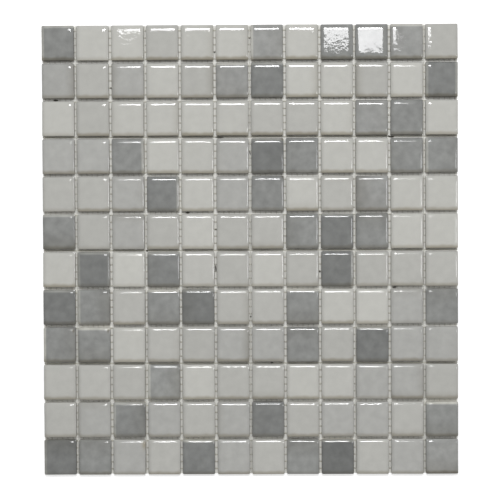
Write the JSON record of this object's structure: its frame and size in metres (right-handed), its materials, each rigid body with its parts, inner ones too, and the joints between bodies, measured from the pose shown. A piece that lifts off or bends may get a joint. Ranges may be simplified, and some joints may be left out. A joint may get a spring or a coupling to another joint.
{
  "type": "mosaic tile sheet",
  "caption": "Net-backed sheet of small glossy glazed ceramic mosaic tiles in mixed greys, in straight rows with open joints, for bonding to a wall or floor.",
  "frame": {"origin": "middle of the underside, where the net lies on the floor or meets the adhesive", "axes": "+Z out of the glazed face, +X to the right across the sheet and +Y up the sheet as the picture shows it"},
  "size_m": [0.3016, 0.327, 0.0055],
  "materials": {
    "pale_glaze": "gloss",
    "light_glaze": "gloss",
    "mid_glaze": "gloss",
    "smoke_glaze": "gloss",
    "dark_glaze": "gloss",
    "slate_glaze": "gloss",
    "glass_fibre_net": "matte"
  },
  "bodies": {
    "root": {"tiles_pale_grey": "pale_glaze", "tiles_light_grey": "light_glaze", "tiles_mid_grey": "mid_glaze", "tiles_smoke_grey": "smoke_glaze", "tiles_dark_grey": "dark_glaze", "tiles_slate_grey": "slate_glaze", "net_weft": "glass_fibre_net", "net_warp": "glass_fibre_net"}
  },
  "joints": []
}
